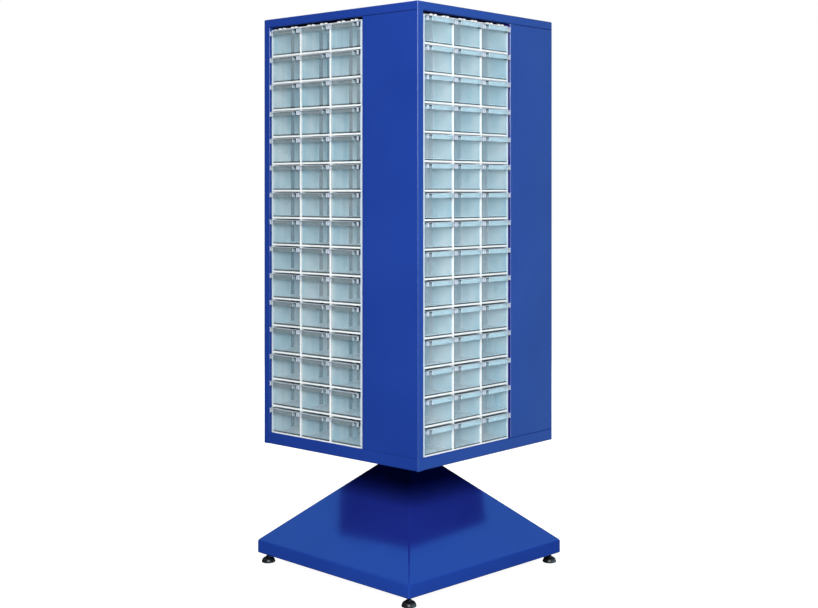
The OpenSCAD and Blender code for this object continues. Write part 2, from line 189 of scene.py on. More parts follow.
def pull(bm, faces, move):
    """Extrudes faces as one region and moves them; gives the moved faces"""
    made = bmesh.ops.extrude_face_region(bm, geom=faces)["geom"]
    bmesh.ops.delete(bm, geom=faces, context="FACES")
    corners = [item for item in made if isinstance(item, bmesh.types.BMVert)]
    bmesh.ops.translate(bm, vec=move, verts=corners)
    bm.normal_update()
    return [item for item in made if isinstance(item, bmesh.types.BMFace)]


def cut(bm, axis, places, faces=None):
    """Cuts the whole mesh, or some of its faces, across an axis; gives the cut faces"""
    normal = Vector((0, 0, 0))
    normal[axis] = 1
    pieces = list(bm.faces if faces is None else faces)
    for place in places:
        edges = {edge for face in pieces for edge in face.edges}
        corners = {vert for face in pieces for vert in face.verts}
        cut_geom = bmesh.ops.bisect_plane(
            bm, geom=[*pieces, *edges, *corners], dist=TINY,
            plane_co=normal * place, plane_no=normal,
        )["geom"]
        pieces = [item for item in cut_geom if isinstance(item, bmesh.types.BMFace)]
    bm.normal_update()
    return pieces


def raise_edges(bm, edges, move, grow=None):
    """Extrudes edges into a wall, and scales the new edges about the axis; gives the new edges"""
    made = bmesh.ops.extrude_edge_only(bm, edges=edges)["geom"]
    corners = [item for item in made if isinstance(item, bmesh.types.BMVert)]
    bmesh.ops.translate(bm, vec=move, verts=corners)
    if grow is not None:
        bmesh.ops.scale(bm, vec=(grow, grow, 1), verts=corners)
    return [item for item in made if isinstance(item, bmesh.types.BMEdge)]


def round_edges(bm, edges, radius):
    bmesh.ops.bevel(
        bm, geom=edges, offset=radius, offset_type="OFFSET", segments=BEND_STEPS,
        profile=0.5, affect="EDGES", material=-1, clamp_overlap=True,
    )
    bm.normal_update()


def outer_folds(bm, half, least_angle):
    """Edges folded by more than an angle that lie half a width or more from the axis"""
    return [
        edge for edge in bm.edges
        if not edge.is_boundary and edge.calc_face_angle(0) > least_angle
        and all(max(abs(vert.co.x), abs(vert.co.y)) > half - TINY for vert in edge.verts)
    ]


def open_hole(bm, rim, radius, z):
    """Fills the plane inside a rim up to a round hole on the axis"""
    hole = bmesh.ops.create_circle(bm, segments=HOLE_STEPS, radius=radius)["verts"]
    bmesh.ops.translate(bm, vec=(0, 0, z), verts=hole)
    hole_edges = {edge for vert in hole for edge in vert.link_edges}
    bmesh.ops.bridge_loops(bm, edges=rim + list(hole_edges))


def thicken(bm, outward, wall):
    """Gives an open sheet its wall, inwards from the side that its largest face turns outward"""
    bmesh.ops.recalc_face_normals(bm, faces=bm.faces)
    largest = max(bm.faces, key=lambda face: face.calc_area())
    if largest.normal.dot(Vector(outward)) < 0:
        bmesh.ops.reverse_faces(bm, faces=bm.faces)
    bmesh.ops.solidify(bm, geom=bm.faces[:], thickness=wall)
    bmesh.ops.recalc_face_normals(bm, faces=bm.faces)


def finished_mesh(bm, name):
    """Writes a shape as a mesh with smooth bends and sharp folds"""
    for face in bm.faces:
        face.smooth = True
    for edge in bm.edges:
        edge.smooth = edge.is_manifold and edge.calc_face_angle(math.pi) < SHARP_ANGLE
    mesh = bpy.data.meshes.new(name)
    bm.to_mesh(mesh)
    bm.free()
    return mesh


def stamp(bm, shape, matrix):
    """Adds a copy of a finished shape at a place"""
    start = len(bm.verts)
    bm.from_mesh(shape)
    bm.verts.ensure_lookup_table()
    bmesh.ops.transform(bm, matrix=matrix, verts=bm.verts[start:])


def paint_faces(faces, index):
    for face in faces:
        face.material_index = index


def on_side(k):
    """Moves a shape drawn at the lower left corner of side 1 to side k"""
    turn = Matrix.Rotation(math.radians(90 * (k - 1)), 4, "Z")
    return turn @ Matrix.Translation((-half_cab, -half_cab, 0))


def add_piece(bm, name, body, materials, nodes):
    """Turns a shape in millimetres into a piece that rides on a body and stands for CAD nodes"""
    bmesh.ops.scale(bm, vec=(MM, MM, MM), verts=bm.verts)
    mesh = finished_mesh(bm, name)
    for material in materials:
        mesh.materials.append(material)
    piece = link(bpy.data.objects.new(name, mesh))
    weigh = piece.modifiers.new("even_normals", "WEIGHTED_NORMAL")
    weigh.keep_sharp = True
    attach(piece, body)
    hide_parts(*nodes)


# Material tools


def srgb(red, green, blue):
    """A colour given as 0 to 255 in sRGB, as the linear colour that shaders use"""
    shares = [channel / 255 for channel in (red, green, blue)]
    linear = [s / 12.92 if s <= 0.04045 else ((s + 0.055) / 1.055) ** 2.4 for s in shares]
    return (*linear, 1)


def noise(tree, place, scale, detail):
    node = tree.nodes.new("ShaderNodeTexNoise")
    node.inputs["Scale"].default_value = scale
    node.inputs["Detail"].default_value = detail
    tree.links.new(place, node.inputs["Vector"])
    return node.outputs["Fac"]


def spread(tree, value, given, wanted):
    """Maps a value from one range to another and clamps it"""
    node = tree.nodes.new("ShaderNodeMapRange")
    for word, span in (("From", given), ("To", wanted)):
        for end, number in zip(("Min", "Max"), span):
            node.inputs[f"{word} {end}"].default_value = number
    tree.links.new(value, node.inputs["Value"])
    return node.outputs["Result"]


def blend_colours(tree, share, first, second):
    """Mixes two colours; share, first and second are sockets"""
    node = tree.nodes.new("ShaderNodeMix")
    node.data_type = "RGBA"
    tree.links.new(share, node.inputs["Factor"])
    tree.links.new(first, node.inputs["A"])
    tree.links.new(second, node.inputs["B"])
    return node.outputs["Result"]


def calculate(tree, operation, first, second):
    """A Math node on two sockets or numbers"""
    node = tree.nodes.new("ShaderNodeMath")
    node.operation = operation
    for socket, value in zip(node.inputs, (first, second)):
        if isinstance(value, (int, float)):
            socket.default_value = value
        else:
            tree.links.new(value, socket)
    return node.outputs["Value"]


def object_coordinates(tree):
    return tree.nodes.new("ShaderNodeTexCoord").outputs["Object"]


def stretched(tree, place, height_scale):
    """Coordinates with another scale along the height"""
    stretch = tree.nodes.new("ShaderNodeMapping")
    stretch.inputs["Scale"].default_value = (1, 1, height_scale)
    tree.links.new(place, stretch.inputs["Vector"])
    return stretch.outputs["Vector"]


def new_skin(name, second_colour):
    group = bpy.data.node_groups.new(name, "ShaderNodeTree")
    sockets = (("INPUT", ("Colour", second_colour, "Roughness")),
               ("OUTPUT", ("Colour", "Roughness", "Height")))
    for way, socket_names in sockets:
        for socket_name in socket_names:
            kind = "NodeSocketColor" if socket_name.endswith("Colour") else "NodeSocketFloat"
            group.interface.new_socket(socket_name, in_out=way, socket_type=kind)
    return group, group.nodes.new("NodeGroupInput").outputs


def close_skin(tree, colour, roughness, uneven, height):
    """Hands out a skin's colour, its roughness made uneven, and its height"""
    result = tree.nodes.new("NodeGroupOutput")
    tree.links.new(colour, result.inputs["Colour"])
    tree.links.new(calculate(tree, "ADD", roughness, uneven), result.inputs["Roughness"])
    tree.links.new(height, result.inputs["Height"])
    return tree


def paint_skin(name, shade_z=None):
    """Powder coat: clouds of a second colour, orange peel and uneven gloss

    With shade_z, two heights, the coat darkens between them, where the cabinet keeps light off.
    """
    tree, given = new_skin(name, "Cloud Colour")
    place = object_coordinates(tree)
    clouds = spread(tree, noise(tree, place, scale=3.5, detail=3), (0.35, 0.65), (0, 1))
    colour = blend_colours(tree, clouds, given["Colour"], given["Cloud Colour"])
    if shade_z is not None:
        height = tree.nodes.new("ShaderNodeSeparateXYZ")
        tree.links.new(place, height.inputs[0])
        night = tree.nodes.new("ShaderNodeRGB").outputs[0]
        night.default_value = srgb(2, 2, 8)
        low, high = shade_z
        shade = spread(tree, height.outputs["Z"], (low * MM, high * MM), (0, 1))
        colour = blend_colours(tree, shade, colour, night)
    patches = spread(tree, noise(tree, place, scale=11, detail=4), (0.3, 0.7), (-0.02, 0.03))
    peel = noise(tree, place, scale=750, detail=2)
    return close_skin(tree, colour, given["Roughness"], patches, peel)


def moulded_skin():
    """Moulded plastic: faint flow marks along the height and fine dulling"""
    tree, given = new_skin("moulded_skin", "Flow Colour")
    place = stretched(tree, object_coordinates(tree), 0.35)
    flow = spread(tree, noise(tree, place, scale=16, detail=3), (0.3, 0.7), (0, 1))
    colour = blend_colours(tree, flow, given["Colour"], given["Flow Colour"])
    dull = spread(tree, noise(tree, place, scale=60, detail=3), (0.3, 0.7), (-0.03, 0.06))
    grain = noise(tree, place, scale=420, detail=2)
    return close_skin(tree, colour, given["Roughness"], dull, grain)


def clear_skin():
    """Clear plastic: soft streaks down the walls, and a tone that differs from drawer to drawer"""
    tree, given = new_skin("clear_skin", "Streak Colour")
    place = object_coordinates(tree)
    walls = stretched(tree, place, 0.05)
    streaks = spread(tree, noise(tree, walls, scale=42, detail=3), (0.35, 0.65), (0, 0.62))
    tone = spread(tree, noise(tree, place, scale=7, detail=1), (0.35, 0.65), (0, 0.38))
    share = calculate(tree, "ADD", streaks, tone)
    colour = blend_colours(tree, share, given["Colour"], given["Streak Colour"])
    dull = spread(tree, noise(tree, place, scale=60, detail=3), (0.3, 0.7), (-0.03, 0.05))
    grain = noise(tree, place, scale=300, detail=2)
    return close_skin(tree, colour, given["Roughness"], dull, grain)


def worked_metal():
    """Rolled or turned steel: fine rings of scratches and a cloudy tone"""
    tree, given = new_skin("worked_metal", "Stain Colour")
    place = object_coordinates(tree)
    scratches = noise(tree, stretched(tree, place, 40), scale=30, detail=4)
    stains = spread(tree, noise(tree, place, scale=18, detail=4), (0.4, 0.7), (0, 1))
    colour = blend_colours(tree, stains, given["Colour"], given["Stain Colour"])
    rough = spread(tree, scratches, (0.3, 0.7), (-0.07, 0.09))
    return close_skin(tree, colour, given["Roughness"], rough, scratches)


PAINT = paint_skin("paint_skin")
BASE_PAINT = paint_skin("shaded_paint_skin", shade_z=(205, 262))
MOULDED = moulded_skin()
CLEAR_SKIN = clear_skin()
METAL = worked_metal()


def finish(name, skin, colour, second_colour, roughness, bump=0.05, **plain):
    """A material: a skin group feeds colour, roughness and bump; plain sets other sockets"""
    material = bpy.data.materials.new(name)
    material.use_nodes = True
    tree = material.node_tree
    shader = tree.nodes["Principled BSDF"]
    surface = tree.nodes.new("ShaderNodeGroup")
    surface.node_tree = skin
    surface.inputs[0].default_value = srgb(*colour)
    surface.inputs[1].default_value = srgb(*second_colour)
    surface.inputs[2].default_value = roughness
    relief = tree.nodes.new("ShaderNodeBump")
    relief.inputs["Strength"].default_value = bump
    relief.inputs["Distance"].default_value = RELIEF_H * MM
    tree.links.new(surface.outputs["Height"], relief.inputs["Height"])
    tree.links.new(surface.outputs["Colour"], shader.inputs["Base Color"])
    tree.links.new(surface.outputs["Roughness"], shader.inputs["Roughness"])
    tree.links.new(relief.outputs["Normal"], shader.inputs["Normal"])
    for socket_name, value in plain.items():
        shader.inputs[socket_name.replace("_", " ")].default_value = value
    return material


cabinet_paint = finish(
    "cabinet_paint", PAINT, (26, 53, 133), (29, 57, 139), 0.3,
    Specular_Tint=(0, 0.95, 1, 1), Specular_IOR_Level=0.1,
)
# Painted highlight and shade: a glossier, darker copy of the cabinet paint for the corner bend and
# the margin strip's fold, so the camera lamp draws a line on them while they take less diffuse
# light
bend_highlight_paint = finish(
    "bend_highlight_paint", PAINT, (24, 50, 120), (27, 54, 126), 0.26,
    Specular_Tint=(0.6, 0.7, 1, 1), Specular_IOR_Level=0.42,
)
# Painted shade and highlight: a dark violet, glossy copy of the paint for the bend at the bay's
# edge, dark on its shaded side and carrying the lamp's line on its lit side
bay_bend_shade_highlight_paint = finish(
    "bay_bend_shade_highlight_paint", PAINT, (26, 22, 108), (30, 26, 116), 0.2,
    Specular_Tint=(0.8, 1, 1, 1), Specular_IOR_Level=0.7,
)
# Painted shade: a darker copy of the paint, with no gloss, on the bay's fold, where the frames keep
# light off
fold_shade_paint = finish("fold_shade_paint", PAINT, (22, 14, 96), (26, 18, 104), 0.4, Specular_IOR_Level=0)
base_paint = finish(
    "base_paint", BASE_PAINT, (26, 39, 122), (28, 42, 128), 0.16,
    Specular_Tint=(0, 0.28, 0.95, 1), IOR=2.5,
)
lip_paint = finish(
    "lip_paint", PAINT, (29, 60, 144), (31, 63, 150), 0.3, Specular_IOR_Level=0,
)
frame_plastic = finish(
    "frame_plastic", MOULDED, (234, 237, 237), (227, 232, 233), 0.42, Specular_IOR_Level=0.25,
)
# Painted shade: a darker, bluish copy of the white plastic for the fronts of the frames' outer
# walls
frame_edge_shade_plastic = finish(
    "frame_edge_shade_plastic", MOULDED, (188, 205, 218), (180, 199, 213), 0.42, Specular_IOR_Level=0.25,
)
clear_plastic = finish(
    "clear_plastic", CLEAR_SKIN, (162, 208, 230), (212, 232, 242), 0.1,
    Alpha=0.18, Specular_IOR_Level=0.6,
)
# Painted highlight: a light, nearly opaque copy of the clear plastic for the wall rims, the pane's
# right border, the rib fronts and the front of the ledge's top
clear_edge_highlight = finish(
    "clear_edge_highlight", MOULDED, (212, 226, 236), (222, 234, 242), 0.14,
    Alpha=0.76, Specular_IOR_Level=0.3,
)
# Painted highlight: a light copy of the clear plastic for the end ribs' sides and the ledge's front
rib_highlight_plastic = finish(
    "rib_highlight_plastic", MOULDED, (212, 220, 238), (220, 228, 242), 0.16,
    Alpha=0.44, Specular_IOR_Level=0.25,
)
# Painted shade: the clear divider guides are painted dark, those on the left walls much darker than
# those on the right
guide_shade_plastic = finish(
    "guide_shade_plastic", MOULDED, (20, 32, 34), (42, 58, 56), 0.2,
    Alpha=0.9, Specular_IOR_Level=0.2,
)
faint_guide_shade_plastic = finish(
    "faint_guide_shade_plastic", MOULDED, (104, 138, 164), (134, 160, 184), 0.2, Alpha=0.4,
)
side_plastic = finish(
    "side_plastic", CLEAR_SKIN, (148, 201, 218), (212, 233, 236), 0.16, Alpha=0.56,
)
# Painted shade: a dark grey copy of the clear plastic for the upper band behind the label strip,
# metallic so that it still mirrors the room
shade_plastic = finish(
    "shade_plastic", MOULDED, (106, 124, 132), (118, 136, 144), 0.2, Alpha=0.56, Metallic=1,
)
# Painted shade: a dark copy of the clear plastic for the drawer's foot, the pane's left border, the
# label strip's right pocket and the back of the ledge's top
dark_shade_plastic = finish(
    "dark_shade_plastic", MOULDED, (22, 36, 42), (34, 48, 54), 0.3,
    Alpha=0.66, Specular_IOR_Level=0,
)
# The label plate's plastic, also used for a painted highlight line above each drawer's foot
label_and_highlight_plastic = finish(
    "label_and_highlight_plastic", MOULDED, (172, 186, 190), (178, 192, 196), 0.18,
    bump=0, Alpha=0.36, Metallic=0.5,
)
DRAWER_PLASTICS = [
    clear_plastic, clear_edge_highlight, rib_highlight_plastic, guide_shade_plastic, faint_guide_shade_plastic, side_plastic,
    shade_plastic, dark_shade_plastic, label_and_highlight_plastic,
]
frame_steel = finish("frame_steel", METAL, (92, 94, 97), (70, 72, 76), 0.5, Metallic=0.85)
bright_steel = finish("bright_steel", METAL, (176, 178, 182), (150, 153, 158), 0.32, Metallic=1)
bearing_steel = finish("bearing_steel", METAL, (200, 202, 206), (184, 186, 190), 0.2, Metallic=1)
bush_plastic = finish("bush_plastic", MOULDED, (214, 208, 190), (200, 194, 176), 0.42)
foot_black = finish(
    "foot_black", MOULDED, (12, 12, 13), (18, 18, 20), 0.36, Specular_IOR_Level=0.3,
)


# Painted sheet

# Materials of a corner panel and of the base after their plain paint, which is number 0; the
# panel's are painted highlight and shade on the bends and painted shade on the bay's fold
BEND_HIGHLIGHT, FOLD_SHADE, BAY_BEND_SHADE_HIGHLIGHT = 1, 2, 3
LIP = 1


def corner_panel(k):
    """Blank panel, corner bend and margin strip: one folded sheet"""
    bm = bmesh.new()
    blank_z, blank_top, strip_top = deck_z + seam, band_z - seam, cab_top - bend_r
    path = [
        (bay_right, fold_depth), (bay_right, 0), (cab_w, 0),
        (cab_w, margin_w), (cab_w - fold_depth, margin_w),
    ]
    foot = [bm.verts.new((x, y, cab_z)) for x, y in path]
    edges = [bm.edges.new(pair) for pair in zip(foot, foot[1:])]
    for low, high in ((cab_z, blank_z), (blank_z, blank_top), (blank_top, strip_top)):
        edges = raise_edges(bm, edges, (0, 0, high - low))
    bends = [
        edge for edge in bm.edges
        if abs(edge.verts[0].co.z - edge.verts[1].co.z) > TINY and not edge.is_boundary
    ]
    round_edges(bm, bends, bend_r)
    for low, high in ((cab_z, blank_z), (blank_top, strip_top)):
        flat = faces_in(bm, (0, -1, low), (cab_w - bend_r, cab_w, high))
        fold = faces_in(bm, (0, margin_w - bend_r, low), (cab_w, cab_w, high))
        bmesh.ops.delete(bm, geom=list(set(flat + fold)), context="FACES")
    thicken(bm, (0, -1, 0), sheet)
    # Painted highlight and shade: the bends and the margin strip's fold take the bend copy, the
    # bay's bend the dark glossy copy, and the bay's fold the dark shade copy
    for face in bm.faces:
        centre = face.calc_center_median()
        bent = 0.1 < abs(face.normal.x) < 0.99
        if bent or abs(centre.y - margin_w) < sheet + TINY:
            face.material_index = BEND_HIGHLIGHT if centre.x > bay_right + bend_r else BAY_BEND_SHADE_HIGHLIGHT
        elif centre.x < bay_right + sheet + TINY:
            face.material_index = FOLD_SHADE
    bmesh.ops.transform(bm, matrix=on_side(k), verts=bm.verts)
    add_piece(
        bm, f"painted_corner_panel_{k}", "cabinet",
        [cabinet_paint, bend_highlight_paint, fold_shade_paint, bay_bend_shade_highlight_paint], [f"corner_panel_{k}"],
    )


def tray(node, plate_z, edge_z, hole_r, strip_top):
    """Square plate with folded flanges and hems, open up to strip_top for the margin strips"""
    bm = bmesh.new()
    plate = bmesh.ops.create_grid(bm, x_segments=1, y_segments=1, size=half_cab)["verts"]
    bmesh.ops.translate(bm, vec=(0, 0, plate_z), verts=plate)
    rim = bm.edges[:]
    flange = raise_edges(bm, rim, (0, 0, edge_z - plate_z))
    raise_edges(bm, flange, (0, 0, 0), (half_cab - hem_w) / half_cab)
    if hole_r:
        middle = faces_in(bm, (-1, -1, plate_z), (1, 1, plate_z))
        bmesh.ops.delete(bm, geom=middle, context="FACES_ONLY")
        open_hole(bm, rim, hole_r, plate_z)
    round_edges(bm, outer_folds(bm, half_cab, least_angle=1), bend_r)
    for k in range(1, SIDES + 1):
        bmesh.ops.transform(bm, matrix=on_side(k).inverted(), verts=bm.verts)
        strip_end = margin_w - bend_r
        edge_faces = faces_in(bm, (0, -1, edge_z - 1), (cab_w, hem_w, plate_z - TINY * 2))
        cut(bm, X, [strip_end], edge_faces)
        gone = faces_in(bm, (-1, -1, edge_z - 1), (strip_end - TINY * 2, hem_w, strip_top))
        bmesh.ops.delete(bm, geom=gone, context="FACES")
        bmesh.ops.transform(bm, matrix=on_side(k), verts=bm.verts)
    thicken(bm, (0, 0, 1), sheet)
    add_piece(bm, f"painted_{node}", "cabinet", [cabinet_paint], [node])


def base_cover():
    """Pyramid shell with an upright lip and a turned-in hem"""
    bm = bmesh.new()
    grid = bmesh.ops.create_grid(bm, x_segments=1, y_segments=1, size=half_base)["verts"]
    bmesh.ops.translate(bm, vec=(0, 0, lip_low), verts=grid)
    bmesh.ops.delete(bm, geom=bm.faces[:], context="FACES_ONLY")
    foot = bm.edges[:]
    raise_edges(bm, foot, (0, 0, 0), (half_base - cover_hem) / half_base)
    lip = raise_edges(bm, foot, (0, 0, lip_high - lip_low))
    top = raise_edges(bm, lip, (0, 0, crown_z - lip_high), crown / half_base)
    open_hole(bm, top, crown_hole_r, crown_z)
    round_edges(bm, outer_folds(bm, crown, least_angle=0.3), cover_bend)
    thicken(bm, (0, 0, 1), cover_sheet)
    upright = [face for face in bm.faces if abs(face.normal.z) < 0.5]
    paint_faces(upright, LIP)
    turn = Matrix.Rotation(BASE_TURN, 4, "Z")
    bmesh.ops.transform(bm, matrix=turn, verts=bm.verts)
    add_piece(
        bm, "painted_base_cover", "base", [base_paint, lip_paint], ["base_cover"]
    )


# Moulded frames

# Material of a frame's outer walls after the plain white, which is number 0: painted shade, a
# darker bluish copy of the white on the outer walls' fronts
FRAME_EDGE_SHADE = 1


def frame_shape(grooved):
    """One white frame with three cells, its lower left front corner at the origin

    Its nubs fill the grooves of the frame above, and the lowest frame is plain below.
    """
    bm = bmesh.new()
    nubs = sorted(
        frame_side + c * cell_pitch + share * cell_w for c in range(COLUMNS) for share in nub_shares
    )
    half_nub, half_groove, groove_h = nub_w / 2, nub_w / 2 + nub_air, nub_h + nub_air / 2
    outline = [(0, 0)]
    for x in nubs if grooved else []:
        outline += [(x - half_groove, 0), (x - half_groove, groove_h)]
        outline += [(x + half_groove, groove_h), (x + half_groove, 0)]
    outline += [(frame_w, 0), (frame_w, frame_h), (0, frame_h)]
    face = bm.faces.new([bm.verts.new((x, 0, z)) for x, z in outline])
    made = bmesh.ops.extrude_face_region(bm, geom=[face])["geom"]
    back = [item for item in made if isinstance(item, bmesh.types.BMVert)]
    bmesh.ops.translate(bm, vec=(0, frame_depth, 0), verts=back)
    bmesh.ops.recalc_face_normals(bm, faces=bm.faces)
    top = faces_in(bm, (-1, -1, frame_h), (frame_w, frame_depth, frame_h), (0, 0, 1))
    nub_sides = [x + way * half_nub for x in nubs for way in (-1, 1)]
    top = between(cut(bm, Y, [nub_depth], cut(bm, X, nub_sides, top)), Y, 0, nub_depth)
    under_nubs = [
        face for face in top
        if any(abs(face.calc_center_median().x - x) < half_nub for x in nubs)
    ]
    pull(bm, under_nubs, (0, 0, nub_h))
    cells = [frame_side + c * cell_pitch for c in range(COLUMNS)]
    walls = [x for left in cells for x in (left, left + cell_w)]
    front = faces_in(bm, (-1, -1, -1), (frame_w, 0, ROW_PITCH), (0, -1, 0))
    # Painted shade on the fronts of the outer walls
    for face in cut(bm, X, walls, front):
        if not walls[0] < face.calc_center_median().x < walls[-1]:
            face.material_index = FRAME_EDGE_SHADE
    front = faces_in(bm, (-1, -1, -1), (frame_w, 0, ROW_PITCH), (0, -1, 0))
    cut(bm, Z, [frame_floor, frame_h - frame_roof], front)
    for left in cells:
        cell = faces_in(
            bm, (left, -1, frame_floor), (left + cell_w, 0, frame_h - frame_roof), (0, -1, 0)
        )
        pull(bm, cell, (0, frame_depth - frame_back, 0))
    return finished_mesh(bm, "frame_shape")


def white_frames(k, lowest, others):
    bm = bmesh.new()
    for r in range(ROWS):
        place = (stack_x, recess, deck_z + stack_air / 2 + r * ROW_PITCH)
        stamp(bm, others if r else lowest, on_side(k) @ Matrix.Translation(place))
    add_piece(
        bm, f"white_frames_{k}", "cabinet",
        [frame_plastic, frame_edge_shade_plastic], [f"frame_stack_{k}"],
    )


# Drawers

# Materials of a drawer, as DRAWER_PLASTICS lists them after the clear plastic, number 0; most of
# them are copies of the clear plastic painted as highlight or shade
EDGE_HIGHLIGHT, RIB_HIGHLIGHT, GUIDE_SHADE, FAINT_GUIDE_SHADE, SIDE, SHADE, DARK_SHADE, LABEL_AND_HIGHLIGHT = range(1, 9)


def add_guides(bm):
    """Guides for dividers on the inner side walls of a drawer"""
    guide_z, guide_top = drawer_wall + 2, drawer_h - 5
    guide_sides = [y for depth in guide_depths for y in (depth, depth + guide_w)]
    for x, inwards in ((drawer_wall, 1), (drawer_w - drawer_wall, -1)):
        wall = faces_in(bm, (x, 1, 1), (x, drawer_l - 1, drawer_h), (inwards, 0, 0))
        cut(bm, Y, guide_sides, wall)
        # Painted shade: the guides on the left walls take the dark copy, those on the right walls
        # the faint one
        guide = GUIDE_SHADE if inwards > 0 else FAINT_GUIDE_SHADE
        for depth in guide_depths:
            strip = faces_in(bm, (x, depth, 1), (x, depth + guide_w, drawer_h), (inwards, 0, 0))
            parts = cut(bm, Z, [guide_z, guide_top], strip)
            middle = between(parts, Z, guide_z, guide_top)
            paint_faces(pull(bm, middle, (inwards * guide_t, 0, 0)), guide)


def add_front(bm):
    """Foot, pane and label strip of a drawer: a ledge, four ribs and a plate between the inner two

    The foot stands back, and above it runs a painted highlight line, up to line_top. Painted shade
    darkens the foot, the pane's left border, the top of the band behind the strip, its right pocket
    and the back of the ledge's top; painted highlights light the pane's right border, the ribs and
    the front of the ledge.
    """
    grip_z, ledge_z, shade_z = drawer_h - grip_h, drawer_h - grip_sheet, drawer_h - shade_h
    end_ribs = (0, drawer_w - rib_t)
    inner_ribs = (rib_inset, drawer_w - rib_inset - rib_t)

    def ribs_at(faces, lefts):
        return [
            face for face in faces
            if any(x < face.calc_center_median().x < x + rib_t for x in lefts)
        ]

    def below_ledge(faces):
        return [face for face in faces if face.calc_center_median().z < ledge_z]

    front = faces_in(bm, (0, 0, 0), (drawer_w, 0, drawer_h), (0, -1, 0))
    heights = [0, foot_h, line_top, grip_z, ledge_z, drawer_h]
    front = cut(bm, Z, heights[1:-1], front)
    foot, line, pane, band, ledge = (
        between(front, Z, low, high) for low, high in zip(heights, heights[1:])
    )
    # Painted highlight: a light line above the foot, in the label plate's plastic
    paint_faces(line, LABEL_AND_HIGHLIGHT)
    pane = cut(bm, X, [front_edge, drawer_w - front_edge], pane)
    # Painted shade on the pane's left border and painted highlight on its right border
    paint_faces(between(pane, X, 0, front_edge), DARK_SHADE)
    paint_faces(between(pane, X, drawer_w - front_edge, drawer_w), EDGE_HIGHLIGHT)
    places = [rib_t, rib_inset, rib_inset + rib_t]
    band = cut(bm, X, places + [drawer_w - x for x in reversed(places)], band)
    # Painted shade on the top of the band behind the label strip
    paint_faces(between(cut(bm, Z, [shade_z], band), Z, shade_z, ledge_z), SHADE)
    band = faces_in(bm, (0, 0, grip_z), (drawer_w, 0, ledge_z), (0, -1, 0))
    # Painted shade on the label strip's right pocket
    paint_faces(between(band, X, drawer_w - rib_inset, drawer_w), DARK_SHADE)

    # The ledge and its ribs, pulled out in three steps for their colours: painted highlights on the
    # end ribs and tips, painted shade and highlight on the ledge's top
    comb = pull(bm, ledge + ribs_at(band, end_ribs + inner_ribs), (0, -rib_foot, 0))
    paint_faces(below_ledge(ribs_at(comb, end_ribs)), RIB_HIGHLIGHT)
    comb = pull(bm, comb, (0, rib_foot - end_reach, 0))
    short = below_ledge(ribs_at(comb, end_ribs))
    paint_faces(short, EDGE_HIGHLIGHT)
    reaching = [face for face in comb if face not in short]
    tips = pull(bm, reaching, (0, end_reach - grip_reach, 0))
    paint_faces(below_ledge(tips), EDGE_HIGHLIGHT)
    paint_faces(between(tips, Z, ledge_z, drawer_h), RIB_HIGHLIGHT)
    # Painted shade on the back of the ledge's top, painted highlight on its front
    for y_low, y_high, index in ((-rib_foot, drawer_wall, DARK_SHADE), (-grip_reach, -rib_foot, EDGE_HIGHLIGHT)):
        ledge_top = faces_in(bm, (0, y_low, drawer_h), (drawer_w, y_high, drawer_h), (0, 0, 1))
        paint_faces(ledge_top, index)
    # Painted shade on the foot, which stands back
    paint_faces(pull(bm, foot, (0, foot_step, 0)), DARK_SHADE)

    # The plate for labels, pulled down out of the ledge
    plate_y = grip_sheet - grip_reach
    left, right = rib_inset + rib_t, drawer_w - rib_inset - rib_t
    for x, towards in ((left, (1, 0, 0)), (right, (-1, 0, 0))):
        rib_side = faces_in(bm, (x, -grip_reach, grip_z), (x, 0, ledge_z), towards)
        cut(bm, Y, [plate_y], rib_side)
    under = faces_in(bm, (left, -grip_reach, ledge_z), (right, 0, ledge_z), (0, 0, -1))
    cut(bm, Y, [plate_y], under)
    under = faces_in(bm, (left, -grip_reach, ledge_z), (right, plate_y, ledge_z), (0, 0, -1))
    pull(bm, under, (0, 0, grip_z - ledge_z))
    paint_faces(faces_in(bm, (left, -grip_reach, grip_z), (right, plate_y, ledge_z)), LABEL_AND_HIGHLIGHT)
    shared = [
        face for x in (left, right)
        for face in faces_in(bm, (x, -grip_reach, grip_z), (x, plate_y, ledge_z))
    ]
    bmesh.ops.delete(bm, geom=shared, context="FACES")


def drawer_shape():
    """One clear drawer, its lower left front corner at the origin; the label strip stands proud"""
    bm = bmesh.new()
    block(bm, (0, 0, 0), (drawer_w, drawer_l, drawer_h))
    bm.normal_update()
    lid = faces_in(bm, (0, 0, drawer_h), (drawer_w, drawer_l, drawer_h))
    rim = bmesh.ops.inset_individual(
        bm, faces=lid, thickness=drawer_wall, use_even_offset=True
    )["faces"]
    # Painted highlight on the rims of the walls
    paint_faces(rim, EDGE_HIGHLIGHT)
    pull(bm, lid, (0, 0, drawer_wall - drawer_h))
    inner_low, inner_high = (drawer_wall, 1, 1), (drawer_w - drawer_wall, drawer_l - 1, drawer_h)
    for towards in ((1, 0, 0), (-1, 0, 0), (0, -1, 0)):
        paint_faces(faces_in(bm, inner_low, inner_high, towards), SIDE)
    add_guides(bm)
    add_front(bm)
    bmesh.ops.remove_doubles(bm, verts=bm.verts, dist=TINY)
    return finished_mesh(bm, "drawer_shape")


def clear_drawers(node, k, c, rows, shape):
    """The drawers of one node, in column c and some rows of side k; their body has its name too"""
    bm = bmesh.new()
    for r in rows:
        place = (drawer_x + (c - 1) * cell_pitch, drawer_y, drawer_z + (r - 1) * ROW_PITCH)
        stamp(bm, shape, on_side(k) @ Matrix.Translation(place))
    add_piece(bm, f"clear_{node}", node, DRAWER_PLASTICS, [node])


# Levelling feet


